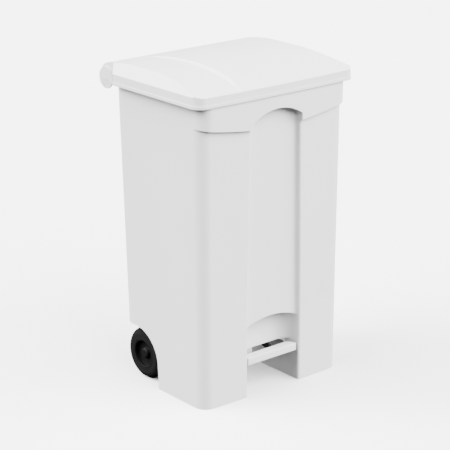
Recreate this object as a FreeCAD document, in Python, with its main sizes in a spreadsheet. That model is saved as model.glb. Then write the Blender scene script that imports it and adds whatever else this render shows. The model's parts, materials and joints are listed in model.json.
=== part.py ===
import FreeCAD, Part
import math
import os
import re
from FreeCAD import Placement, Rotation, Vector

# Pedal bin, millimetres. +X is the bin's left-to-right seen from the front, -Y is the front,
# +Z is up. The origin is on the floor, under the middle of the bin.

doc = FreeCAD.newDocument("pedal_bin")

SIZES = [
    ("tub_top", 776), ("tub_half_floor", 224), ("tub_half_top", 230.3), ("front", 186),
    ("front_bow", 3.7), ("rear_floor", 128.7), ("rear_top", 156.8), ("front_corner", 31),
    ("rear_corner", 38), ("wall", 4), ("floor_height", 152),
    ("collar_proud", 10.6), ("collar_foot", 688), ("collar_rise", 26), ("rim_step", 3),
    ("arch_half", 77), ("arch_spring", 706), ("arch_rise", 24),
    ("channel_floor", 175.7), ("recess_half", 85), ("recess_back", 137), ("recess_top", 194.5),
    ("channel_round", 7), ("channel_flare", 5.5),
    ("recess_sag", 18), ("recess_wall_foot", 103), ("recess_corner", 24), ("gap_round", 28),
    ("leg_back", 9), ("wheel_arch", 86.5), ("wheel_arch_y", 81), ("rear_drop", 6),
    ("hinge_wall_y", 143), ("hinge_wall_z", 734), ("groove_y", 142), ("groove_half", 16),
    ("hinge_y", 178), ("hinge_z", 771), ("barrel_radius", 27), ("barrel_half", 233),
    ("hinge_rod_radius", 5), ("eye_wall", 5), ("running_gap", 0.06),
    ("hinge_lug_inner", 90), ("hinge_lug_outer", 200), ("hinge_lug_half", 6),
    ("pivot_lug_at", 68), ("pivot_lug_half", 5), ("pivot_lug_reach", 12),
    ("axle_lug_at", 145), ("axle_lug_half", 6), ("axle_lug_reach", 14),
    ("knuckle_inner", 108), ("knuckle_middle", 182), ("knuckle_outer", 218), ("knuckle_half", 5),
    ("lid_half", 250), ("lid_front", 201.5), ("lid_back", 205), ("lid_foot", 763.7),
    ("lid_shoulder", 788), ("lid_waist_y", 129), ("lid_waist_run", 21), ("lid_sheet", 4),
    ("lid_corner", 28), ("lip_height", 7), ("lip_proud", 1.5),
    ("crest_front", 176), ("crest_z", 796), ("crest_half", 226), ("cross_rise", 9),
    ("crown_y", 30), ("crown_z", 821.3), ("roll_y", 165), ("roll_z", 810.3), ("roll_swell", 13),
    ("tongue_crest_front", 150), ("tongue_crest_z", 811), ("tongue_z", 826),
    ("tongue_rear_half", 122), ("tongue_front_half", 100),
    ("end_cap_thick", 4), ("end_slot_wide", 3.2), ("end_slot_long", 17), ("end_slot_deep", 1.6),
    ("pivot_y", 30), ("pivot_z", 120), ("pivot_radius", 5), ("pivot_tube_radius", 9),
    ("lever_half", 45), ("lever_bar", 6),
    ("push_y", 158.8), ("push_radius", 4), ("crank_arm", 25), ("crank_drop", 40),
    ("cheek_half", 13), ("cheek_thick", 4), ("crank_top", 32),
    ("fork_half", 9), ("fork_deep", 8), ("pin_slot_half", 2.5), ("pin_slot_radius", 4.5),
    ("guide_half", 34), ("guide_high", 16), ("guide_proud", 9), ("guide_screw_at", 25),
    ("guide_lower_z", 200), ("guide_upper_z", 640), ("screw_head", 4.5),
    ("wheel_y", 73.5), ("wheel_radius", 67), ("wheel_face", 211), ("wheel_width", 40), ("tyre_round", 18),
    ("axle_radius", 6), ("hub_radius", 40), ("hub_rim", 6), ("hub_boss", 14.5), ("hub_web", 12),
    ("cap_sink", 9), ("cap_radius", 13.4), ("cap_edge", 3), ("cap_crown", 2.5),
    ("plate_half", 80), ("plate_front", 185), ("plate_back", 160), ("plate_foot", 82),
    ("plate_top", 101.5), ("plate_round", 22),
    ("arm_tip", 176), ("arm_tip_deep", 2.5), ("arm_heel", 160), ("arm_deep", 8), ("arm_bend", 130),
    ("cross_bar_front", 172), ("cross_bar_back", 155), ("cross_bar_thick", 5),
    ("rivet_x", 24), ("rivet_y", 163), ("rivet_radius", 4), ("rivet_head", 2.2),
]

sheet = doc.addObject("Spreadsheet::Sheet", "sizes")
for row, (alias, value) in enumerate(SIZES, start=1):
    sheet.set("A%d" % row, alias)
    sheet.set("B%d" % row, str(value))
    sheet.setAlias("B%d" % row, alias)
doc.recompute()

ALONG_X = Rotation(Vector(0, 1, 0), 90)
ALONG_Y = Rotation(Vector(1, 0, 0), -90)
SIDE_PLANE = Rotation(Vector(0, 1, 0), Vector(0, 0, 1), Vector(1, 0, 0), "XYZ")
FRONT_PLANE = Rotation(Vector(1, 0, 0), Vector(0, 0, 1), Vector(0, -1, 0), "XYZ")


def size(alias):
    return float(sheet.get(alias))


def cell(text):
    """Turn a short expression such as 'front - wall' into one that reads the sheet."""
    return re.sub("[a-z][a-z_]+", lambda word: "sizes." + word.group(), str(text))


def bind(item, **exprs):
    for prop, text in exprs.items():
        item.setExpression(prop, cell(text))
    return item


def place(item, x, y, z, rotation=None):
    if rotation:
        item.Placement = Placement(Vector(), rotation)
    for axis, text in zip("xyz", (x, y, z)):
        item.setExpression("Placement.Base." + axis, cell(text))
    return item


def box(name, x, y, z):
    """A box between (low, high) pairs of expressions."""
    item = doc.addObject("Part::Box", name)
    spans = ["( %s ) - ( %s )" % (high, low) for low, high in (x, y, z)]
    bind(item, Length=spans[0], Width=spans[1], Height=spans[2])
    return place(item, x[0], y[0], z[0])


def rod_x(name, radius, x, y, z):
    """A cylinder along X between the pair x, centred on (y, z)."""
    item = doc.addObject("Part::Cylinder", name)
    bind(item, Radius=radius, Height="( %s ) - ( %s )" % (x[1], x[0]))
    return place(item, x[0], y, z, ALONG_X)


def rod_y(name, radius, x, y, z):
    """A cylinder along Y between the pair y, centred on (x, z)."""
    item = doc.addObject("Part::Cylinder", name)
    bind(item, Radius=radius, Height="( %s ) - ( %s )" % (y[1], y[0]))
    return place(item, x, y[0], z, ALONG_Y)


def rod_z(name, radius, x, y, z):
    item = doc.addObject("Part::Cylinder", name)
    bind(item, Radius=radius, Height="( %s ) - ( %s )" % (z[1], z[0]))
    return place(item, x, y, z[0])


def fuse(name, shapes):
    item = doc.addObject("Part::MultiFuse", name)
    item.Shapes = shapes
    return item


def common(name, shapes):
    item = doc.addObject("Part::MultiCommon", name)
    item.Shapes = shapes
    return item


def cut(name, base, tools):
    item = doc.addObject("Part::Cut", name)
    item.Base = base
    item.Tool = tools[0] if len(tools) == 1 else fuse(name + "_tools", tools)
    return item


def path(start, steps):
    """Edges from start: a step of one point is a line, a step of two is an arc through them."""
    edges = []
    here = start
    for step in steps:
        if len(step) == 1:
            edges.append(Part.LineSegment(Vector(*here), Vector(*step[0])))
        else:
            edges.append(Part.Arc(Vector(*here), Vector(*step[0]), Vector(*step[1])))
        here = step[-1]
    return edges


def profile(name, edges, rotation=None, base=Vector()):
    sketch = doc.addObject("Sketcher::SketchObject", name)
    sketch.addGeometry(edges, False)
    sketch.Placement = Placement(base, rotation or Rotation())
    return sketch


def extrude(name, sketch, forward, backward="0"):
    item = doc.addObject("Part::Extrusion", name)
    item.Base = sketch
    item.DirMode = "Normal"
    item.Solid = True
    return bind(item, LengthFwd=forward, LengthRev=backward)


def loft(name, sections):
    item = doc.addObject("Part::Loft", name)
    item.Sections = sections
    item.Solid = True
    item.Ruled = True
    return item


def outline(name, half, front, bow, rear, front_round, rear_round, z):
    """A closed plan outline with a bowed front, rounded at its four corners."""
    ease_f = front_round * (1 - math.sqrt(0.5))
    ease_r = rear_round * (1 - math.sqrt(0.5))
    start = (-half + front_round, -front, 0)
    steps = [
        [(0, -front - bow, 0), (half - front_round, -front, 0)],
        [(half - ease_f, -front + ease_f, 0), (half, -front + front_round, 0)],
        [(half, rear - rear_round, 0)],
        [(half - ease_r, rear - ease_r, 0), (half - rear_round, rear, 0)],
        [(-half + rear_round, rear, 0)],
        [(-half + ease_r, rear - ease_r, 0), (-half, rear - rear_round, 0)],
        [(-half, -front + front_round, 0)],
        [(-half + ease_f, -front + ease_f, 0), start],
    ]
    return profile(name, path(start, steps), base=Vector(0, 0, z))


def tub_half(z):
    floor_half = size("tub_half_floor")
    return floor_half + (size("tub_half_top") - floor_half) * z / size("tub_top")


def tub_rear(z):
    rear = size("rear_floor")
    return rear + (size("rear_top") - rear) * z / size("tub_top")


def tub_loft(name, low, high, proud, inset):
    """The tub's tapered body between two heights, grown at the front and shrunk all round."""
    sections = []
    for end, z in (("low", low), ("high", high)):
        sections.append(outline(
            name + "_" + end, tub_half(z) - inset, size("front") + proud - inset,
            size("front_bow"), tub_rear(z) - inset, size("front_corner") - inset * 0.6,
            size("rear_corner") - inset * 0.6, z))
    return loft(name, sections)


def around(at, half, sign):
    """The X limits of a piece as wide as twice half, centred on at or on its mirror image."""
    return flip(("%s - %s" % (at, half), "%s + %s" % (at, half)), sign)


def flip(span, sign):
    """The pair of X limits itself, or mirrored to the bin's left."""
    return span if sign > 0 else ("-( %s )" % span[1], "-( %s )" % span[0])


def mirrored_boxes(name, x, y, z):
    """Two boxes, the second mirrored to the other side of the bin."""
    return [box(name + "_left", flip(x, -1), y, z), box(name + "_right", x, y, z)]


def build_collar(name, top, proud, inset):
    """The band under the lid: its foot rises outwards and an arch is cut in its middle."""
    foot = size("collar_foot") + inset
    rise = size("collar_rise")
    arch = size("arch_half") + inset
    spring = size("arch_spring") + inset
    reach = size("lid_half")
    band = tub_loft(name + "_band", foot - 8, top, proud, inset)
    front_half = box(name + "_front", ("-lid_half", "lid_half"),
                     ("-lid_front - 20", "-front + 60 - %d" % inset), ("collar_foot - 9", "tub_top + 2"))
    mid = (arch + reach) / 2
    mid_rise = foot + rise * 0.42
    below = foot - 20
    edges = path((-reach, foot + rise, 0), [
        [(-mid, mid_rise, 0), (-arch, foot, 0)],
        [(-arch, spring, 0)],
        [(0, spring + size("arch_rise"), 0), (arch, spring, 0)],
        [(arch, foot, 0)],
        [(mid, mid_rise, 0), (reach, foot + rise, 0)],
        [(reach, below, 0)],
        [(-reach, below, 0)],
        [(-reach, foot + rise, 0)],
    ])
    under = extrude(name + "_under", profile(name + "_under_edge", edges, FRONT_PLANE), "260")
    return cut(name, common(name + "_block", [band, front_half]), [under])


def channel_section(name, half, flare, z):
    """Plan of the channel: its floor's corners are round, and so are its front edges, by flare."""
    floor = -size("channel_floor")
    front = -size("front") - size("front_bow") * 0.8
    reach = -size("lid_front") - 20
    hollow = size("channel_round")
    soft = hollow * (1 - math.sqrt(0.5))
    ease = flare * (1 - math.sqrt(0.5))
    steps = [[(half + flare, reach, 0)], [(half + flare, front, 0)]]
    if flare:
        steps.append([(half + ease, front + ease, 0), (half, front + flare, 0)])
    steps += [
        [(half, floor - hollow, 0)],
        [(half - soft, floor - soft, 0), (half - hollow, floor, 0)],
        [(-half + hollow, floor, 0)],
        [(-half + soft, floor - soft, 0), (-half, floor - hollow, 0)],
        [(-half, front + flare, 0)],
    ]
    if flare:
        steps.append([(-half - ease, front + ease, 0), (-half - flare, front, 0)])
    steps.append([(-half - flare, reach, 0)])
    return profile(name, path((-half - flare, reach, 0), steps), base=Vector(0, 0, z))


def build_channel():
    """The recessed middle of the front: soft-edged up to the collar, then under the arch."""
    low = size("recess_half")
    arch = size("arch_half")
    spring = size("arch_spring")
    top = size("recess_top")
    soft_top = size("collar_foot") - 3
    soft_half = low + (arch - low) * (soft_top - top) / (spring - top)
    flare = size("channel_flare")
    soft = loft("channel_soft", [
        channel_section("channel_foot", low, flare, -1),
        channel_section("channel_mid", low, flare, top),
        channel_section("channel_head", soft_half, flare, soft_top),
    ])
    edges = path((-arch, soft_top, 0), [
        [(arch, soft_top, 0)],
        [(arch, spring, 0)],
        [(0, spring + size("arch_rise"), 0), (-arch, spring, 0)],
        [(-arch, soft_top, 0)],
    ])
    sketch = profile("channel_arch_edge", edges, FRONT_PLANE)
    place(sketch, "0", "-channel_floor", "0")
    under_arch = common("channel_under_arch", [
        extrude("channel_arch", sketch, "60"),
        extrude("channel_arch_plan", channel_section("channel_arch_plan_edge", arch, 0, soft_top), "60"),
    ])
    return fuse("channel", [soft, under_arch])


def build_recess():
    """The pedal opening: a shallow arch over the pedal, and a short wall behind with round corners."""
    half = size("recess_half")
    top = size("recess_top")
    foot = size("recess_wall_foot")
    spring = top - size("recess_sag")
    edges = path((-half, foot, 0), [
        [(half, foot, 0)],
        [(half, spring, 0)],
        [(0, top, 0), (-half, spring, 0)],
        [(-half, foot, 0)],
    ])
    sketch = profile("recess_edge", edges, FRONT_PLANE)
    place(sketch, "0", "-recess_back", "0")

    back = -size("recess_back")
    reach = -size("lid_front") - 20
    radius = size("recess_corner")
    ease = radius * (1 - math.sqrt(0.5))
    plan = path((-half, reach, 0), [
        [(half, reach, 0)],
        [(half, back - radius, 0)],
        [(half - ease, back - ease, 0), (half - radius, back, 0)],
        [(-half + radius, back, 0)],
        [(-half + ease, back - ease, 0), (-half, back - radius, 0)],
        [(-half, reach, 0)],
    ])
    plan_edge = profile("recess_plan_edge", plan, base=Vector(0, 0, foot))
    over_pedal = common("recess_over_pedal", [
        extrude("recess_arch", sketch, "80"),
        extrude("recess_plan", plan_edge, "recess_top"),
    ])
    under_pedal = box("recess_under_pedal", ("-recess_half", "recess_half"),
                      ("-lid_front - 20", "-recess_back"), ("-1", "recess_wall_foot"))
    return fuse("recess", [over_pedal, under_pedal])


def build_wall_gap():
    """The gap under the wall behind the pedal, round at its upper corners."""
    half = size("recess_half")
    top = size("recess_wall_foot")
    radius = size("gap_round")
    ease = radius * (1 - math.sqrt(0.5))
    edges = path((-half, -1, 0), [
        [(half, -1, 0)],
        [(half, top - radius, 0)],
        [(half - ease, top - ease, 0), (half - radius, top, 0)],
        [(-half + radius, top, 0)],
        [(-half + ease, top - ease, 0), (-half, top - radius, 0)],
        [(-half, -1, 0)],
    ])
    sketch = profile("recess_wall_gap_edge", edges, FRONT_PLANE)
    place(sketch, "0", "-recess_back + wall + 1", "0")
    return extrude("recess_wall_gap", sketch, "wall + 2")


def build_rear_cut(name, grow):
    """The space behind the legs: a wheel arch in front, flat under the floor behind it."""
    radius = size("wheel_arch") + grow
    arch_y = size("wheel_arch_y")
    flat_z = size("floor_height") - size("rear_drop") + grow
    arch_z = flat_z - radius
    slope = radius * math.sqrt(0.5)
    foot_y = -size("leg_back") - grow
    reach = size("lid_back")
    edges = path((foot_y, -2, 0), [
        [(arch_y - radius, arch_z, 0)],
        [(arch_y - slope, arch_z + slope, 0), (arch_y, flat_z, 0)],
        [(reach, flat_z, 0)],
        [(reach, -2, 0)],
        [(foot_y, -2, 0)],
    ])
    return extrude(name, profile(name + "_edge", edges, SIDE_PLANE), "lid_half", "lid_half")


def build_tub():
    top = size("tub_top")
    floor = size("floor_height")
    wall = size("wall")
    rim_proud = size("collar_proud") - size("rim_step")
    body = tub_loft("tub_body", 0, top, 0, 0)
    collar = build_collar("collar", size("lid_foot") - 2, size("collar_proud"), 0)
    rim = build_collar("rim", top, rim_proud, 0)
    outer = fuse("tub_outer", [body, collar, rim])

    cavity = tub_loft("cavity_body", floor, top + 1, 0, wall)
    over_recess = box("over_recess", ("-recess_half - wall", "recess_half + wall"),
                      ("-lid_front", "-recess_back + wall"), ("0", "recess_top + wall + 4"))
    behind_channel = box("behind_channel", ("-recess_half - wall", "recess_half + wall"),
                         ("-lid_front", "-channel_floor + wall"), ("0", "tub_top + 2"))
    hinge_wall = box("hinge_wall", ("-lid_half", "lid_half"), ("hinge_wall_y", "lid_back"),
                     ("hinge_wall_z", "tub_top + 2"))
    groove_wall = box("groove_wall", ("-groove_half - wall", "groove_half + wall"),
                      ("groove_y - wall", "lid_back"), ("0", "tub_top + 2"))
    main_cavity = cut("main_cavity", cavity, [over_recess, behind_channel, hinge_wall, groove_wall])
    cavity = fuse("cavity", [main_cavity, build_collar("rim_inside", top + 1, rim_proud, wall)])

    groove = box("rod_groove", ("-groove_half", "groove_half"), ("groove_y", "lid_back"),
                 ("-1", "tub_top + 2"))
    hinge_clear = rod_x("hinge_clear", "barrel_radius + 2", ("-lid_half", "lid_half"),
                        "hinge_y", "hinge_z")

    # The legs are hollow from below; behind them the underside is open, for the wheels and the lever.
    rear_cut = build_rear_cut("rear_cut", 0)
    leg_inside = tub_loft("leg_inside", -1, floor - wall, 0, wall)
    leg_spans = mirrored_boxes("leg_span", ("recess_half + wall", "tub_half_top"),
                               ("-lid_front", "wheel_arch_y"), ("-2", "floor_height"))
    leg_block = common("leg_block", [leg_inside, fuse("leg_span", leg_spans)])
    leg_hollow = cut("leg_hollow", leg_block, [build_rear_cut("leg_back_wall", wall)])
    middle = box("middle_open", ("-recess_half", "recess_half"), ("-recess_back + wall", "lid_back"),
                 ("-1", "floor_height - wall"))
    tools = [cavity, groove, hinge_clear, build_channel(), build_recess(), build_wall_gap()]
    shell = cut("tub_shell", outer, tools + [rear_cut, middle, leg_hollow])

    lugs = []
    for place_name in ("hinge_lug_inner", "hinge_lug_outer"):
        for side, sign in (("left", -1), ("right", 1)):
            span = around(place_name, "hinge_lug_half", sign)
            mark = place_name + "_" + side
            lugs.append(box(mark + "_arm", span, ("hinge_wall_y - 1", "hinge_y"),
                            ("hinge_z - 9", "hinge_z + 5")))
            lugs.append(rod_x(mark + "_eye", "hinge_rod_radius + eye_wall", span, "hinge_y", "hinge_z"))
    for side, sign in (("left", -1), ("right", 1)):
        lugs.append(box("pivot_lug_" + side, around("pivot_lug_at", "pivot_lug_half", sign),
                        ("pivot_y - pivot_lug_reach", "pivot_y + pivot_lug_reach"),
                        ("pivot_z - pivot_lug_reach", "floor_height")))
        lugs.append(box("axle_lug_" + side, around("axle_lug_at", "axle_lug_half", sign),
                        ("wheel_y - axle_lug_reach", "wheel_y + axle_lug_reach"),
                        ("wheel_radius - axle_lug_reach", "floor_height")))
    bores = [
        rod_x("hinge_bore", "hinge_rod_radius + running_gap", ("-lid_half", "lid_half"),
              "hinge_y", "hinge_z"),
        rod_x("pivot_bore", "pivot_radius", ("-100", "100"), "pivot_y", "pivot_z"),
        rod_x("axle_bore", "axle_radius", ("-160", "160"), "wheel_y", "wheel_radius"),
    ]
    return cut("tub", fuse("tub_with_lugs", [shell] + lugs), bores)


def lid_outline(name, inset, z):
    """Plan of the lid: the sides step in at the rear, where the hinge barrel is."""
    half = size("lid_half") - inset
    front = size("lid_front") - inset
    radius = size("lid_corner") - inset
    ease = radius * (1 - math.sqrt(0.5))
    bow = size("front_bow")
    barrel = size("barrel_half") - size("end_cap_thick") - max(inset - size("lip_proud"), 0)
    waist_front = size("lid_waist_y") - inset * 0.4
    waist_back = waist_front + size("lid_waist_run")
    back = size("lid_back") + 20
    start = (-half + radius, -front, 0)
    steps = [
        [(0, -front - bow, 0), (half - radius, -front, 0)],
        [(half - ease, -front + ease, 0), (half, -front + radius, 0)],
        [(half, waist_front, 0)],
        [(barrel, waist_back, 0)],
        [(barrel, back, 0)],
        [(-barrel, back, 0)],
        [(-barrel, waist_back, 0)],
        [(-half, waist_front, 0)],
        [(-half, -front + radius, 0)],
        [(-half + ease, -front + ease, 0), start],
    ]
    return profile(name, path(start, steps), base=Vector(0, 0, z))


def lid_side(name, drop, crown, crest_front, crest_z):
    """The lid cut lengthwise: flange, front shoulder, long crown, rolled rear edge."""
    foot = size("lid_foot") - 10 if drop else size("lid_foot")
    front = size("lid_front") + size("front_bow") - drop
    hinge_y = size("hinge_y")
    hinge_z = size("hinge_z")
    barrel = size("barrel_radius") - drop
    low = math.radians(55)
    shell_end = (hinge_y + barrel * math.cos(low), hinge_z - barrel * math.sin(low), 0)
    back = (hinge_y + barrel, hinge_z, 0)
    roll_y = size("roll_y")
    roll_z = size("roll_z") - drop
    eighth = math.sqrt(0.5)
    roll_start = (roll_y, roll_z, 0)
    roll_mid = (roll_y + (barrel + size("roll_swell")) * eighth, hinge_z + (roll_z - hinge_z) * eighth, 0)
    shoulder_z = size("lid_shoulder") - drop
    mid = math.radians(-27)
    steps = [
        [(-front, shoulder_z, 0)],
        [(-crest_front, crest_z - drop, 0)],
        [(size("crown_y"), crown - drop, 0), roll_start],
        [roll_mid, back],
        [(hinge_y + barrel * math.cos(mid), hinge_z + barrel * math.sin(mid), 0), shell_end],
        [(roll_y, foot, 0)],
        [(-front, foot, 0)],
    ]
    return extrude(name, profile(name + "_edge", path((-front, foot, 0), steps), SIDE_PLANE),
                   "lid_half + 2", "lid_half + 2")


def lid_cross(name, drop):
    """The lid cut across: flange, sloping shoulders and a faintly rounded top."""
    half = size("lid_half") - drop + 1
    shoulder_z = size("lid_shoulder") - drop * 0.5
    crest = size("crest_half") - drop * 0.6
    crest_z = size("crown_z") - 2 - drop
    foot = size("lid_foot") - 12
    steps = [
        [(half, foot, 0)],
        [(half, shoulder_z, 0)],
        [(crest, crest_z, 0)],
        [(0, crest_z + size("cross_rise"), 0), (-crest, crest_z, 0)],
        [(-half, shoulder_z, 0)],
        [(-half, foot, 0)],
    ]
    return extrude(name, profile(name + "_edge", path((-half, foot, 0), steps), FRONT_PLANE),
                   "lid_back + 10", "lid_back + 10")


def tongue_plan(name, drop):
    """The raised middle of the lid in plan, wider at the rear, with sloping edges."""
    sections = []
    roll_y = size("roll_y")
    for end, z, grow in (("low", 780, 24), ("high", 840, -12)):
        rear = size("tongue_rear_half") + grow - drop
        front = size("tongue_front_half") + grow - drop
        reach = size("lid_front") + 20
        corners = [(-rear, roll_y, 0), (rear, roll_y, 0), (front, -reach, 0), (-front, -reach, 0)]
        edges = path(corners[-1], [[point] for point in corners])
        sections.append(profile(name + "_" + end, edges, base=Vector(0, 0, z)))
    return loft(name, sections)


def lid_solid(name, drop, inset):
    """The lid's full form; the inside is the same form again, smaller by the sheet."""
    plan = extrude(name + "_plan", lid_outline(name + "_plan_edge", inset, size("lid_foot") - 12), "120")
    base = lid_side(name + "_side", drop, size("crown_z"), size("crest_front"), size("crest_z"))
    middle = lid_side(name + "_middle", drop, size("tongue_z"),
                      size("tongue_crest_front"), size("tongue_crest_z"))
    tongue = common(name + "_tongue", [plan, middle, tongue_plan(name + "_tongue_plan", drop * 0.8)])
    skirt = common(name + "_skirt", [plan, base, lid_cross(name + "_cross", drop)])
    return fuse(name, [skirt, tongue])


def build_lid():
    outer = lid_solid("lid_outer", 0, size("lip_proud"))
    lip_plan = extrude("lip_plan", lid_outline("lip_plan_edge", 0, size("lid_foot")), "lip_height")
    lip_front = box("lip_front", ("-lid_half - 5", "lid_half + 5"), ("-lid_back - 5", "lid_waist_y"),
                    ("lid_foot - 1", "lid_foot + lip_height + 1"))
    lip = common("lid_lip", [lip_plan, lip_front])
    inner = lid_solid("lid_inner", size("lid_sheet"), size("lid_sheet") + size("lip_proud"))
    shell = cut("lid_shell", fuse("lid_form", [outer, lip]), [inner])

    knuckles = []
    for place_name in ("knuckle_inner", "knuckle_middle", "knuckle_outer"):
        for side, sign in (("left", -1), ("right", 1)):
            span = around(place_name, "knuckle_half", sign)
            mark = place_name + "_" + side
            knuckles.append(rod_x(mark + "_eye", "hinge_rod_radius + eye_wall", span, "hinge_y", "hinge_z"))
            knuckles.append(box(mark + "_rib", span, ("hinge_y - 4", "hinge_y + 4"),
                                ("hinge_z + 7", "hinge_z + 33")))
            knuckles.append(box(mark + "_back", span, ("hinge_y + 7", "hinge_y + barrel_radius - 1"),
                                ("hinge_z - 4", "hinge_z + 4")))
    whole = fuse("lid_with_knuckles", [shell] + knuckles)
    bore = rod_x("knuckle_bore", "hinge_rod_radius + running_gap", ("-lid_half", "lid_half"),
                 "hinge_y", "hinge_z")
    rod_notch = box("lid_rod_notch", ("-groove_half - 1", "groove_half + 1"),
                    ("hinge_y + 5", "lid_back + 5"), ("hinge_z - barrel_radius - 3", "hinge_z - 9"))
    return cut("lid", whole, [bore, rod_notch])


def build_end_cap(side, sign):
    """A round cap that closes one end of the hinge barrel."""
    name = "hinge_end_cap_" + side
    span = flip(("barrel_half - end_cap_thick", "barrel_half"), sign)
    disc = rod_x(name + "_disc", "barrel_radius", span, "hinge_y", "hinge_z")
    cut_span = flip(("barrel_half - end_slot_deep", "barrel_half + 1"), sign)
    slots = []
    for mark in range(3):
        slot = doc.addObject("Part::Box", name + "_slot_%d" % mark)
        bind(slot, Length="( %s ) - ( %s )" % (cut_span[1], cut_span[0]), Width="end_slot_wide",
             Height="end_slot_long")
        lean = Rotation(Vector(1, 0, 0), -32)
        place(slot, cut_span[0], "hinge_y - %d" % (15 - 9 * mark), "hinge_z - %d" % (17 + 2 * mark), lean)
        slots.append(slot)
    return cut(name, disc, slots)


def arm_edges():
    """Side view of a lever arm, from its thin tip under the pedal plate to the pivot."""
    pivot_y = size("pivot_y")
    pivot_z = size("pivot_z")
    foot = size("plate_foot")
    tip = -size("arm_tip")
    bend = -size("arm_bend")
    return path((tip, foot - size("arm_tip_deep"), 0), [
        [(-size("arm_heel"), foot - size("arm_deep"), 0)],
        [(bend, foot - 14, 0)],
        [(pivot_y - 4, pivot_z - 10, 0)],
        [(pivot_y + 10, pivot_z, 0), (pivot_y - 4, pivot_z + 10, 0)],
        [(bend, foot + 2, 0)],
        [(-size("plate_back") + 4, foot, 0)],
        [(tip, foot, 0)],
        [(tip, foot - size("arm_tip_deep"), 0)],
    ])


def build_lever():
    parts = {}
    for side, sign in (("left", -1), ("right", 1)):
        name = "pedal_arm_" + side
        sketch = profile(name + "_edge", arm_edges(), SIDE_PLANE)
        place(sketch, "%d * lever_half - lever_bar / 2" % sign, "0", "0")
        arm = extrude(name + "_bar", sketch, "lever_bar")
        bore = rod_x(name + "_bore", "pivot_tube_radius", ("-100", "100"), "pivot_y", "pivot_z")
        parts[name] = cut(name, arm, [bore])
    tube = rod_x("pivot_tube_body", "pivot_tube_radius", ("-lever_half - 8", "lever_half + 8"),
                 "pivot_y", "pivot_z")
    bore = rod_x("pivot_tube_bore", "pivot_radius + running_gap", ("-100", "100"), "pivot_y", "pivot_z")
    parts["pivot_tube"] = cut("pivot_tube", tube, [bore])
    parts["pedal_cross_bar"] = box(
        "pedal_cross_bar", ("-lever_half + lever_bar / 2", "lever_half - lever_bar / 2"),
        ("-cross_bar_front", "-cross_bar_back"), ("plate_foot - cross_bar_thick", "plate_foot"))
    parts["rear_bar"] = build_rear_bar()
    return parts


def build_rear_bar():
    """The bar from the pivot back to the push rod, with a slot for the fork pin."""
    pivot_y = size("pivot_y")
    pivot_z = size("pivot_z")
    end_y = size("push_y")
    end_z = rear_pin_z()
    edges = path((pivot_y + 4, pivot_z - 9, 0), [
        [(end_y, end_z - 9, 0)],
        [(end_y + 11, end_z, 0), (end_y, end_z + 9, 0)],
        [(pivot_y + 4, pivot_z + 9, 0)],
        [(pivot_y + 4, pivot_z - 9, 0)],
    ])
    sketch = profile("rear_bar_edge", edges, SIDE_PLANE)
    place(sketch, "-lever_bar / 2", "0", "0")
    bar = extrude("rear_bar_solid", sketch, "lever_bar")
    half = size("pin_slot_half")
    radius = size("pin_slot_radius")
    slot = path((end_y - half, end_z - radius, 0), [
        [(end_y + half, end_z - radius, 0)],
        [(end_y + half + radius, end_z, 0), (end_y + half, end_z + radius, 0)],
        [(end_y - half, end_z + radius, 0)],
        [(end_y - half - radius, end_z, 0), (end_y - half, end_z - radius, 0)],
    ])
    slot_cut = extrude("rear_bar_slot", profile("rear_bar_slot_edge", slot, SIDE_PLANE), "10", "10")
    tube_space = rod_x("rear_bar_bore", "pivot_tube_radius", ("-10", "10"), "pivot_y", "pivot_z")
    return cut("rear_bar", bar, [slot_cut, tube_space])


def rear_pin_z():
    """Height of the fork pin at rest: half the push rod's lift below the pivot."""
    return size("pivot_z") - size("crank_arm") * math.sin(math.radians(size("crank_drop")))


def crank_pin_at():
    drop = math.radians(size("crank_drop"))
    arm = size("crank_arm")
    return size("hinge_y") - arm * math.cos(drop), size("hinge_z") - arm * math.sin(drop)


def build_push_rod():
    parts = {}
    pin_z = rear_pin_z()
    pin_y, crank_z = crank_pin_at()
    cap_top = crank_z - 4 - 1
    rod = rod_z("push_rod", "push_radius", "0", "push_y", ("%f" % (pin_z + 16), "%f" % (cap_top - 3)))
    parts["push_rod"] = rod
    block = box("rod_fork_block", ("-fork_half", "fork_half"), ("push_y - fork_deep", "push_y + fork_deep"),
                ("%f" % (pin_z - 10), "%f" % (pin_z + 30)))
    gap = box("rod_fork_gap", ("-lever_bar / 2 - 0.6", "lever_bar / 2 + 0.6"),
              ("push_y - 30", "push_y + 30"), ("%f" % (pin_z - 11), "%f" % (pin_z + 13)))
    socket = rod_z("rod_fork_socket", "push_radius", "0", "push_y",
                   ("%f" % (pin_z + 16), "%f" % (pin_z + 40)))
    pin_bore = rod_x("rod_fork_pin_bore", "push_radius", ("-12", "12"), "push_y", "%f" % pin_z)
    parts["rod_fork"] = cut("rod_fork", block, [gap, socket, pin_bore])
    parts["fork_pin"] = rod_x("fork_pin", "push_radius", ("-fork_half - 2", "fork_half + 2"),
                              "push_y", "%f" % pin_z)
    cap = rod_z("rod_cap_body", "push_radius + 3", "0", "push_y", ("%f" % (cap_top - 16), "%f" % cap_top))
    cap_bore = rod_z("rod_cap_bore", "push_radius", "0", "push_y",
                     ("%f" % (cap_top - 17), "%f" % (cap_top - 3)))
    parts["rod_cap"] = cut("rod_cap", cap, [cap_bore])
    return parts


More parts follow.
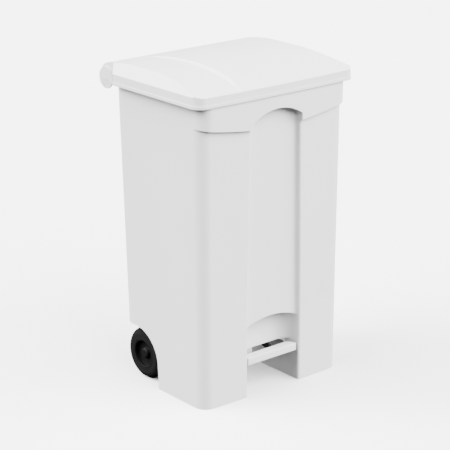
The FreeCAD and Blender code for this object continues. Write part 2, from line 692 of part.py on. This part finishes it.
def build_guide(level, z, tub):
    """A block on the back of the tub that the push rod slides through, and its two screws."""
    name = "rod_guide_" + level
    high = z + size("guide_high")
    block = box(name + "_block", ("-guide_half", "guide_half"),
                ("%f" % (tub_rear(z) - 1), "push_y + guide_proud"), (str(z), str(high)))
    bore = rod_z(name + "_bore", "push_radius + running_gap", "0", "push_y", (str(z - 1), str(high + 1)))
    parts = {name: cut(name, block, [bore, tub])}
    middle = (z + high) / 2
    for side, x in (("left", "-guide_screw_at"), ("right", "guide_screw_at")):
        screw = "guide_screw_%s_%s" % (level, side)
        parts[screw] = rod_y(screw, "screw_head", x, ("push_y + guide_proud", "push_y + guide_proud + 2.5"),
                             str(middle))
    return parts


def build_crank():
    """The lid's crank: two cheeks and a bridge, with the pin that the push rod lifts."""
    pin_y, pin_z = crank_pin_at()
    hinge_y = size("hinge_y")
    hinge_z = size("hinge_z")
    solids = []
    top = hinge_z + size("crank_top")
    for side, x in (("left", "-cheek_half"), ("right", "cheek_half - cheek_thick")):
        edges = path((pin_y - 5, pin_z - 4, 0), [
            [(pin_y + 4, pin_z - 5, 0)],
            [(hinge_y + 8, hinge_z - 6, 0)],
            [(hinge_y + 6, top, 0)],
            [(hinge_y - 14, top, 0)],
            [(pin_y - 5, pin_z - 4, 0)],
        ])
        sketch = profile("crank_cheek_edge_" + side, edges, SIDE_PLANE)
        place(sketch, x, "0", "0")
        solids.append(extrude("crank_cheek_" + side, sketch, "cheek_thick"))
    solids.append(box("crank_bridge", ("-cheek_half", "cheek_half"), ("hinge_y - 14", "hinge_y + 6"),
                      ("hinge_z + crank_top - cheek_thick", "hinge_z + crank_top")))
    rod_bore = rod_x("crank_rod_bore", "hinge_rod_radius + running_gap", ("-20", "20"), "hinge_y", "hinge_z")
    pin_bore = rod_x("crank_pin_bore", "push_radius", ("-20", "20"), "%f" % pin_y, "%f" % pin_z)
    parts = {"lid_crank": cut("lid_crank", fuse("crank_solids", solids), [rod_bore, pin_bore])}
    parts["crank_pin"] = rod_x("crank_pin", "push_radius", ("-cheek_half - 0.5", "cheek_half + 0.5"),
                               "%f" % pin_y, "%f" % pin_z)
    return parts


def ring_of(points):
    return path(points[-1], [[point] for point in points])


def build_wheel(side, sign):
    """Tyre, hub and cap of one wheel, each turned about the axle's line."""
    parts = {}
    radius = size("wheel_radius")
    width = size("wheel_width")
    face = size("wheel_face")
    hub = size("hub_radius")
    middle = face - width / 2
    half = width / 2
    bore = size("axle_radius") + size("running_gap")
    tyre_round = size("tyre_round")
    slack = tyre_round * (1 - math.sqrt(0.5))
    tyre = path((-half, hub, 0), [
        [(-half, radius - tyre_round, 0)],
        [(-half + slack, radius - slack, 0), (-half + tyre_round, radius, 0)],
        [(half - tyre_round, radius, 0)],
        [(half - slack, radius - slack, 0), (half, radius - tyre_round, 0)],
        [(half, hub, 0)],
        [(-half, hub, 0)],
    ])
    boss = size("hub_boss")
    rim = hub - size("hub_rim")
    web = half - size("hub_web")
    end = half - size("cap_sink")
    pocket = boss - 4
    inner_side = [(-half, bore, 0), (-half, boss, 0), (-web, boss, 0), (-web, rim, 0), (-half, rim, 0)]
    outer_side = [(half, rim, 0), (web, rim, 0), (web, boss, 0), (end, boss, 0)]
    washer_seat = [(end, pocket, 0), (end - 5, pocket, 0), (end - 5, bore, 0)]
    hub_shape = ring_of(inner_side + [(-half, hub, 0), (half, hub, 0)] + outer_side + washer_seat)
    for piece, edges in (("tyre", tyre), ("hub", hub_shape)):
        name = "wheel_%s_%s" % (piece, side)
        body = doc.addObject("PartDesign::Body", name)
        sketch = body.newObject("Sketcher::SketchObject", name + "_sketch")
        plane = [part for part in body.Origin.OriginFeatures if part.Role == "XY_Plane"][0]
        sketch.AttachmentSupport = [(plane, "")]
        sketch.MapMode = "FlatFace"
        sketch.addGeometry(edges, False)
        turn = body.newObject("PartDesign::Revolution", name + "_turn")
        turn.Profile = sketch
        turn.ReferenceAxis = (sketch, ["H_Axis"])
        turn.Angle = 360
        rotation = Rotation() if sign > 0 else Rotation(Vector(0, 0, 1), 180)
        body.Placement = Placement(Vector(), rotation)
        place(body, "%d * ( wheel_face - wheel_width / 2 )" % sign, "wheel_y", "wheel_radius")
        parts[name] = body
    cap = "wheel_hub_cap_" + side
    edge_span = flip(("wheel_face - cap_sink", "wheel_face - cap_sink + cap_edge"), sign)
    edge = rod_x(cap + "_edge", "cap_radius", edge_span, "wheel_y", "wheel_radius")
    crown = doc.addObject("Part::Cone", cap + "_crown")
    bind(crown, Radius1="cap_radius", Radius2="cap_radius - 4", Height="cap_crown")
    outward = Rotation(Vector(0, 1, 0), 90 * sign)
    place(crown, "%d * ( wheel_face - cap_sink + cap_edge )" % sign, "wheel_y", "wheel_radius", outward)
    parts[cap] = fuse(cap, [edge, crown])
    return parts


def washer(name, radius, bore, x, y, z):
    """A ring about an X line, between the pair x."""
    disc = rod_x(name + "_disc", radius, x, y, z)
    hole = rod_x(name + "_hole", bore, ("-lid_half", "lid_half"), y, z)
    return cut(name, disc, [hole])


def build_fixings(side, sign):
    """The rings and rivets of one side."""
    parts = {}
    sleeve = "wheel_sleeve_" + side
    sleeve_span = flip(("axle_lug_at + axle_lug_half", "wheel_face - wheel_width - 0.3"), sign)
    parts[sleeve] = washer(sleeve, "axle_radius + 3", "axle_radius", sleeve_span, "wheel_y", "wheel_radius")
    retainer = "axle_washer_" + side
    washer_span = flip(("wheel_face - cap_sink - 4.7", "wheel_face - cap_sink - 2.5"), sign)
    parts[retainer] = washer(retainer, "hub_boss - 5", "axle_radius", washer_span, "wheel_y", "wheel_radius")
    clip = "pivot_clip_" + side
    clip_inner = "pivot_lug_at + pivot_lug_half"
    clip_span = flip((clip_inner, clip_inner + " + 2"), sign)
    parts[clip] = washer(clip, "pivot_radius + 3", "pivot_radius", clip_span, "pivot_y", "pivot_z")
    rivet = "plate_rivet_" + side
    parts[rivet] = rod_z(rivet, "rivet_radius", "%d * rivet_x" % sign, "-rivet_y",
                         ("plate_foot - cross_bar_thick - rivet_head", "plate_foot - cross_bar_thick"))
    return parts


def build_plate():
    """The pedal tread: a straight front edge and rounded rear corners."""
    half = size("plate_half")
    front = size("plate_front")
    back = size("plate_back")
    round_off = size("plate_round")
    slack = round_off * (1 - math.sqrt(0.5))
    start = (-half, -front, 0)
    edges = path(start, [
        [(half, -front, 0)],
        [(half, -back - round_off, 0)],
        [(half - slack, -back - slack, 0), (half - round_off, -back, 0)],
        [(-half + round_off, -back, 0)],
        [(-half + slack, -back - slack, 0), (-half, -back - round_off, 0)],
        [start],
    ])
    sketch = profile("pedal_plate_edge", edges)
    place(sketch, "0", "0", "plate_foot")
    return extrude("pedal_plate", sketch, "plate_top - plate_foot")


tub = build_tub()
nodes = {"tub": tub, "lid": build_lid()}
for side, sign in (("left", -1), ("right", 1)):
    nodes["hinge_end_cap_" + side] = build_end_cap(side, sign)
    nodes.update(build_wheel(side, sign))
    nodes.update(build_fixings(side, sign))
nodes["hinge_rod"] = rod_x("hinge_rod", "hinge_rod_radius", ("-barrel_half + 5", "barrel_half - 5"),
                           "hinge_y", "hinge_z")
nodes["pivot_rod"] = rod_x("pivot_rod", "pivot_radius", ("-76", "76"), "pivot_y", "pivot_z")
nodes["axle"] = rod_x("axle", "axle_radius", ("-wheel_face + cap_sink + 1", "wheel_face - cap_sink - 1"),
                      "wheel_y", "wheel_radius")
nodes["pedal_plate"] = build_plate()
nodes.update(build_lever())
nodes.update(build_push_rod())
nodes.update(build_crank())
nodes.update(build_guide("lower", size("guide_lower_z"), tub))
nodes.update(build_guide("upper", size("guide_upper_z"), tub))

doc.recompute()

problems = [item.Name for item in doc.Objects if {"Invalid", "Error"} & set(item.State)]
for name, item in nodes.items():
    item.Label = name
    if item.Shape.isNull() or not item.Shape.isValid() or not item.Shape.Solids:
        problems.append(name)
if problems:
    raise RuntimeError("failed objects: " + ", ".join(problems))

os.makedirs("parts", exist_ok=True)
for name, item in nodes.items():
    item.Shape.exportStep("parts/" + name + ".step")
    print(name, len(item.Shape.Solids), round(item.Shape.Volume / 1000, 1))
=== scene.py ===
import bmesh
import bpy
import json
import math
from mathutils import Matrix, Vector


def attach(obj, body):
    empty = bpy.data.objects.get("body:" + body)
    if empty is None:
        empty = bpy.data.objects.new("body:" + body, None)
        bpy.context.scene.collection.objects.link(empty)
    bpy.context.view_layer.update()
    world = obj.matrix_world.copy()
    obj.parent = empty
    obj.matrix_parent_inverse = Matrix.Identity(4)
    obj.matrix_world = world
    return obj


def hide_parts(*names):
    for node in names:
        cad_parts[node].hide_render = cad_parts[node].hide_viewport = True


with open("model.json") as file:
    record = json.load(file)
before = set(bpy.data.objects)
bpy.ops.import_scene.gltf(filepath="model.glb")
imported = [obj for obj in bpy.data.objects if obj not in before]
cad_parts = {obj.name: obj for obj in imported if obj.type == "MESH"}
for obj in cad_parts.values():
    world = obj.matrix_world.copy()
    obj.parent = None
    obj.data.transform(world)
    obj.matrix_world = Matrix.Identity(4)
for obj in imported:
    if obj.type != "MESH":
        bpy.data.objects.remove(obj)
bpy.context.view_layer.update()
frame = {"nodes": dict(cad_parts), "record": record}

SLOTS = {part["node"]: part["material_slot"] for part in frame["record"]["subparts"]}
BODIES = frame["record"]["behaviour"]["bodies"]


# ---- camera and stage (metres, degrees) --------------------------------------------------------

CAMERA_TURN = 39.86
CAMERA_RISE = 18.45
CAMERA_DISTANCE = 4.292
CAMERA_AIM = Vector((0, 0.001, 0.3854))
SENSOR_WIDTH = 36
LENS_LENGTH = 135.7
FAR_CLIP = 50

SKY_STRENGTH = 0.07
# name, turn to the camera's right, height above the floor, strength, spread
LIGHTS = (
    ("left_light", -70, 40, 12.0, 50),
    ("rear_left_light", -108, 36, 7.0, 50),
    ("right_light", 95, 20, 10.0, 50),
    ("front_light", 45, 40, 9.5, 50),
    ("back_light", 172, 40, 1.5, 60),
)

FLOOR_REACH = 12.0
FLOOR_DROP = 0.0004


def set_camera():
    """A long lens, turned to the bin's left and looking down a little."""
    azimuth = math.radians(CAMERA_TURN)
    elevation = math.radians(CAMERA_RISE)
    back = Vector((
        -math.sin(azimuth) * math.cos(elevation),
        -math.cos(azimuth) * math.cos(elevation),
        math.sin(elevation),
    ))
    right = Vector((math.cos(azimuth), -math.sin(azimuth), 0))
    up = back.cross(right)
    turn = Matrix((right, up, back)).transposed().to_4x4()
    data = bpy.data.cameras.new("camera")
    data.sensor_width = SENSOR_WIDTH
    data.lens = LENS_LENGTH
    data.clip_end = FAR_CLIP
    camera = bpy.data.objects.new("camera", data)
    camera.matrix_world = Matrix.Translation(CAMERA_AIM + back * CAMERA_DISTANCE) @ turn
    bpy.context.scene.collection.objects.link(camera)
    bpy.context.scene.camera = camera


def soft_sun(name, turn, height, strength, spread):
    """A broad, far light, as one row of LIGHTS gives it."""
    angle = math.radians(CAMERA_TURN - turn)
    rise = math.radians(height)
    towards = Vector((
        -math.sin(angle) * math.cos(rise),
        -math.cos(angle) * math.cos(rise),
        math.sin(rise),
    ))
    data = bpy.data.lights.new(name, "SUN")
    data.energy = strength
    data.angle = math.radians(spread)
    lamp = bpy.data.objects.new(name, data)
    lamp.rotation_euler = towards.to_track_quat("Z", "Y").to_euler()
    bpy.context.scene.collection.objects.link(lamp)


def set_light():
    """A faint even sky and five broad lights."""
    world = bpy.data.worlds.new("studio")
    world.use_nodes = True
    sky = world.node_tree.nodes["Background"]
    sky.inputs["Color"].default_value = (1, 1, 1, 1)
    sky.inputs["Strength"].default_value = SKY_STRENGTH
    bpy.context.scene.world = world
    for light in LIGHTS:
        soft_sun(*light)


def make_floor():
    """A plain pale floor that sends no light back onto the bin."""
    mesh = bpy.data.meshes.new("floor")
    sides = ((-1, -1), (1, -1), (1, 1), (-1, 1))
    corners = [(x * FLOOR_REACH, y * FLOOR_REACH, -FLOOR_DROP) for x, y in sides]
    mesh.from_pydata(corners, [], [(0, 1, 2, 3)])
    floor = bpy.data.objects.new("floor", mesh)
    bpy.context.scene.collection.objects.link(floor)
    floor.data.materials.append(plain("floor_paint", (0.93, 0.93, 0.93), 0.8))
    floor.visible_diffuse = False
    floor.visible_glossy = False


# ---- materials --------------------------------------------------------------------------------

DRIFT_SCALE = 7
DRIFT_DETAIL = 4
DRIFT_LOW = 0.3
DRIFT_HIGH = 0.7
ROUGHNESS_SPREAD = 0.06
GRAIN_DETAIL = 3
GRAIN_STRENGTH = 0.35

# one look for each material slot of the record; grain in metres
LOOKS = {
    "white_plastic": {
        "colour": (0.64, 0.64, 0.637), "rough": 0.38, "shine": 0.7,
        "grain_size": 0.0012, "grain_depth": 0.0002, "shade": 0.012,
    },
    "black_plastic": {
        "colour": (0.003, 0.003, 0.0031), "rough": 0.6, "shine": 0.08,
        "grain_size": 0.001, "grain_depth": 0.0002, "shade": 0.15,
    },
    "tyre": {
        "colour": (0.003, 0.003, 0.0031), "rough": 0.85, "shine": 0.1,
        "grain_size": 0.0016, "grain_depth": 0.0004, "shade": 0.2,
    },
    "coated_steel": {
        "colour": (0.02, 0.02, 0.021), "rough": 0.55, "shine": 0.3,
        "grain_size": 0.0009, "grain_depth": 0.0002, "shade": 0.15,
    },
    "zinc_steel": {
        "colour": (0.56, 0.57, 0.58), "rough": 0.34, "metal": 1.0,
        "grain_size": 0.002, "grain_depth": 0.0001, "shade": 0.1,
    },
}


def plain(name, colour, rough):
    """One colour and one roughness."""
    material = bpy.data.materials.new(name)
    material.use_nodes = True
    shader = material.node_tree.nodes["Principled BSDF"]
    shader.inputs["Base Color"].default_value = (*colour, 1)
    shader.inputs["Roughness"].default_value = rough
    return material


def textured(name, colour, rough, grain_size, grain_depth, shade, metal=0.0, shine=0.5):
    """A material with fine grain bump, slow colour drift and uneven roughness, in object space."""
    material = plain(name, colour, rough)
    tree = material.node_tree
    shader = tree.nodes["Principled BSDF"]
    shader.inputs["Metallic"].default_value = metal
    shader.inputs["Specular IOR Level"].default_value = shine
    place = tree.nodes.new("ShaderNodeTexCoord")

    drift = tree.nodes.new("ShaderNodeTexNoise")
    drift.inputs["Scale"].default_value = DRIFT_SCALE
    drift.inputs["Detail"].default_value = DRIFT_DETAIL
    tree.links.new(place.outputs["Object"], drift.inputs["Vector"])
    tint = tree.nodes.new("ShaderNodeValToRGB")
    dark, light = tint.color_ramp.elements
    dark.position = DRIFT_LOW
    light.position = DRIFT_HIGH
    dark.color = (*[c * (1 - shade) for c in colour], 1)
    light.color = (*[min(1, c * (1 + shade)) for c in colour], 1)
    tree.links.new(drift.outputs["Fac"], tint.inputs["Fac"])
    tree.links.new(tint.outputs["Color"], shader.inputs["Base Color"])

    spread = tree.nodes.new("ShaderNodeMapRange")
    spread.inputs["To Min"].default_value = max(0, rough - ROUGHNESS_SPREAD)
    spread.inputs["To Max"].default_value = min(1, rough + ROUGHNESS_SPREAD)
    tree.links.new(drift.outputs["Fac"], spread.inputs["Value"])
    tree.links.new(spread.outputs["Result"], shader.inputs["Roughness"])

    grain = tree.nodes.new("ShaderNodeTexNoise")
    grain.inputs["Scale"].default_value = 1 / grain_size
    grain.inputs["Detail"].default_value = GRAIN_DETAIL
    tree.links.new(place.outputs["Object"], grain.inputs["Vector"])
    bump = tree.nodes.new("ShaderNodeBump")
    bump.inputs["Strength"].default_value = GRAIN_STRENGTH
    bump.inputs["Distance"].default_value = grain_depth
    tree.links.new(grain.outputs["Fac"], bump.inputs["Height"])
    tree.links.new(bump.outputs["Normal"], shader.inputs["Normal"])
    return material


def paint_nodes():
    """Each CAD node gets the material that its record slot names."""
    materials = {slot: textured(slot, **look) for slot, look in LOOKS.items()}
    for node, item in frame["nodes"].items():
        item.data.materials.clear()
        item.data.materials.append(materials[SLOTS[node]])


# ---- rounded mouldings ------------------------------------------------------------------------

WELD_GAP = 1e-5
FLAT_ANGLE = math.radians(0.5)
CREST_TURN = (math.radians(6), math.radians(60))
CREST_UPRIGHT = 0.25
CREST_SEGMENTS = 4
EDGE_ANGLE = math.radians(28)
EDGE_SEGMENTS = 3
FLAT_WEIGHT = 60

# radius in metres of the rounding along each moulding's sharp edges
ROUNDINGS = {
    "tub": 0.0022,
    "lid": 0.0018,
    "pedal_plate": 0.002,
    "rod_guide_lower": 0.0012,
    "rod_guide_upper": 0.0012,
    "hinge_end_cap_left": 0.0005,
    "wheel_hub_left": 0.0012,
    "wheel_hub_cap_left": 0.0008,
    "hinge_end_cap_right": 0.0005,
    "wheel_hub_right": 0.0012,
    "wheel_hub_cap_right": 0.0008,
}
BLENDS = {"lid": 0.007}


def soften_crests(piece, blend):
    """A wide, soft rounding along the blunt creases of the upper side, where its faces meet the top."""
    mesh = piece.data
    mesh.attributes.new("bevel_weight_edge", "FLOAT", "EDGE")
    shape = bmesh.new()
    shape.from_mesh(mesh)
    bmesh.ops.remove_doubles(shape, verts=shape.verts, dist=WELD_GAP)
    bmesh.ops.dissolve_limit(shape, angle_limit=FLAT_ANGLE, verts=shape.verts, edges=shape.edges)
    weight = shape.edges.layers.float["bevel_weight_edge"]
    for edge in shape.edges:
        if len(edge.link_faces) != 2:
            continue
        upright = min(face.normal.z for face in edge.link_faces)
        if upright > CREST_UPRIGHT and CREST_TURN[0] < edge.calc_face_angle_signed(0) < CREST_TURN[1]:
            edge[weight] = 1
    shape.to_mesh(mesh)
    shape.free()
    wide = piece.modifiers.new("crest", "BEVEL")
    wide.width = blend
    wide.segments = CREST_SEGMENTS
    wide.limit_method = "WEIGHT"
    wide.use_clamp_overlap = True


def moulding(node, rounding, blend):
    """The CAD node's own shape with its edges rounded, as a mould leaves them."""
    source = frame["nodes"][node]
    mesh = source.data.copy()
    mesh.name = node + "_moulding"
    piece = bpy.data.objects.new(node + "_moulding", mesh)
    bpy.context.scene.collection.objects.link(piece)
    piece.matrix_world = source.matrix_world
    mesh.shade_smooth()
    mesh.normals_split_custom_set([(0, 0, 0)] * len(mesh.loops))
    weld = piece.modifiers.new("weld", "WELD")
    weld.merge_threshold = WELD_GAP
    flat = piece.modifiers.new("flat", "DECIMATE")
    flat.decimate_type = "DISSOLVE"
    flat.angle_limit = FLAT_ANGLE
    if blend:
        soften_crests(piece, blend)
    bevel = piece.modifiers.new("bevel", "BEVEL")
    bevel.width = rounding
    bevel.segments = EDGE_SEGMENTS
    bevel.limit_method = "ANGLE"
    bevel.angle_limit = EDGE_ANGLE
    bevel.miter_outer = "MITER_ARC"
    even = piece.modifiers.new("even", "WEIGHTED_NORMAL")
    even.weight = FLAT_WEIGHT
    even.keep_sharp = False
    body = next(name for name, nodes in BODIES.items() if node in nodes)
    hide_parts(node)
    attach(piece, body)


set_camera()
set_light()
make_floor()
paint_nodes()
for node, rounding in ROUNDINGS.items():
    moulding(node, rounding, BLENDS.get(node, 0))
